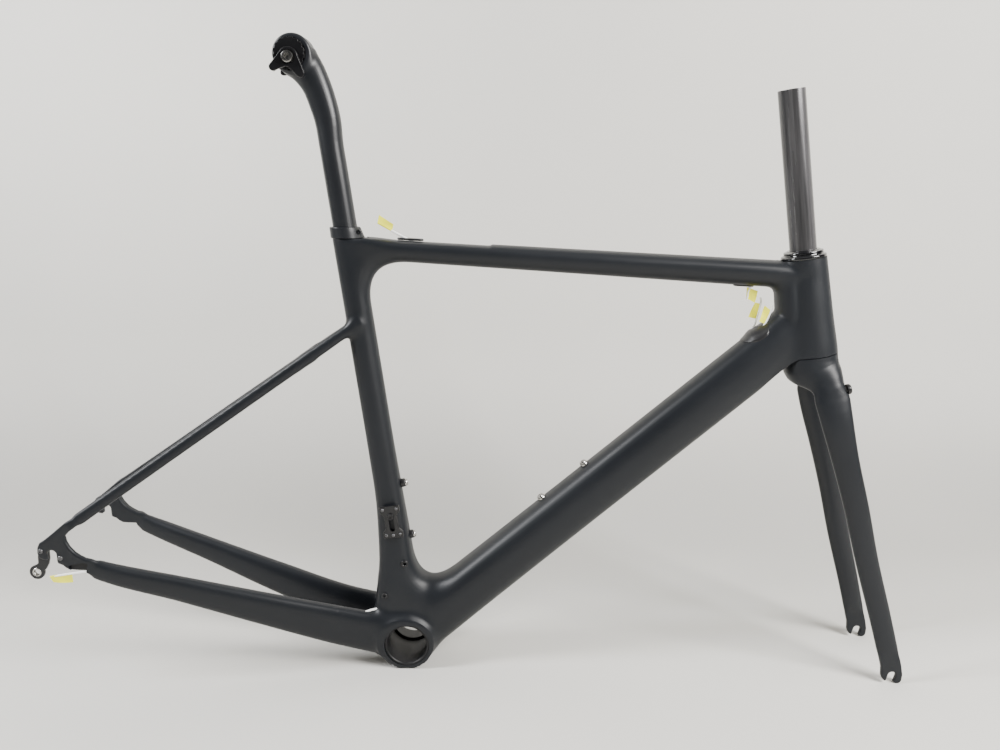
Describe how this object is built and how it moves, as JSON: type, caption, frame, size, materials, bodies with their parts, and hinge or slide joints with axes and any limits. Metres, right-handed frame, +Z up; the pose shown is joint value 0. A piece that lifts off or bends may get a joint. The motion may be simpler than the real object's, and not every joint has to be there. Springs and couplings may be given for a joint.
{
  "type": "bicycle frame",
  "caption": "Road bicycle frame with a tapered head tube, a straight-bladed fork that steers, and a swept-back seatpost with a tilting saddle clamp.",
  "frame": {"origin": "middle of the box's bottom, on the floor under the frame", "axes": "+X forward towards the fork, +Y to the rider's left, +Z up; the frame stands on its bottom bracket shell and the two fork tips"},
  "size_m": [0.9859, 0.1507, 0.7127],
  "materials": {
    "carbon_black": "matt black paint over moulded carbon",
    "carbon_satin": "satin black moulded carbon",
    "carbon_raw": "bare wrapped carbon with a resin gloss",
    "anodised_black": "black anodised",
    "gloss_black": "glossy black",
    "plastic_black": "fine moulded texture",
    "steel": "bright",
    "liner_white": "white extruded tube",
    "tape_yellow": "pale yellow masking tape"
  },
  "bodies": {
    "frame": {"bottom_bracket_shell": "carbon_black", "brake_bridge": "carbon_black", "brake_liner": "liner_white", "chainstay_left": "carbon_black", "chainstay_right": "carbon_black", "collar_bolt": "steel", "derailleur_hanger": "anodised_black", "down_tube": "carbon_black", "down_tube_boss_1": "steel", "down_tube_boss_2": "steel", "down_tube_bottle_bolt_1": "steel", "down_tube_bottle_bolt_2": "steel", "down_tube_port": "plastic_black", "dropout_left": "carbon_black", "dropout_right": "carbon_black", "front_derailleur_mount": "anodised_black", "front_shift_liner": "liner_white", "hanger_screw_1": "steel", "hanger_screw_2": "steel", "head_tube": "carbon_black", "lower_bearing": "steel", "mount_bolt": "anodised_black", "rear_shift_liner": "liner_white", "seat_collar": "anodised_black", "seat_tube": "carbon_black", "seat_tube_boss_1": "plastic_black", "seat_tube_boss_2": "plastic_black", "seat_tube_bottle_bolt_1": "steel", "seat_tube_bottle_bolt_2": "steel", "seat_tube_insert": "anodised_black", "seatstay_left": "carbon_black", "seatstay_right": "carbon_black", "tape_brake_front": "tape_yellow", "tape_brake_rear": "tape_yellow", "tape_front_shift": "tape_yellow", "tape_rear_shift_front": "tape_yellow", "tape_rear_shift_rear": "tape_yellow", "top_tube": "carbon_black", "top_tube_front_port": "plastic_black", "top_tube_rear_port": "plastic_black", "upper_bearing": "steel"},
    "fork": {"compression_ring": "gloss_black", "crown_race": "steel", "fork_blade_left": "carbon_black", "fork_blade_right": "carbon_black", "fork_brake_boss_left": "anodised_black", "fork_brake_boss_right": "anodised_black", "fork_crown": "carbon_black", "fork_tip_left": "carbon_black", "fork_tip_right": "carbon_black", "headset_cover": "gloss_black", "steerer_tube": "carbon_raw"},
    "post": {"seatpost": "carbon_satin"},
    "clamp": {"clamp_barrel": "anodised_black", "clamp_bolt": "steel", "clamp_cradle_left": "anodised_black", "clamp_cradle_right": "anodised_black", "clamp_jaw_left": "anodised_black", "clamp_jaw_right": "anodised_black", "clamp_nut": "steel"}
  },
  "joints": [
    {"name": "fork_steering", "type": "hinge", "parent": "frame", "child": "fork", "pos_m": [0.3799, 0, 0.37], "axis": [-0.1444, 0, 0.9895], "range_deg": [-90, 90]},
    {"name": "seatpost_height", "type": "slide", "parent": "frame", "child": "post", "axis": [-0.1297, 0, 0.9916], "range_m": [-0.08, 0.04]},
    {"name": "saddle_clamp_tilt", "type": "hinge", "parent": "post", "child": "clamp", "pos_m": [-0.1856, 0, 0.6917], "axis": [0, 1, 0], "range_deg": [-20, 20]}
  ]
}
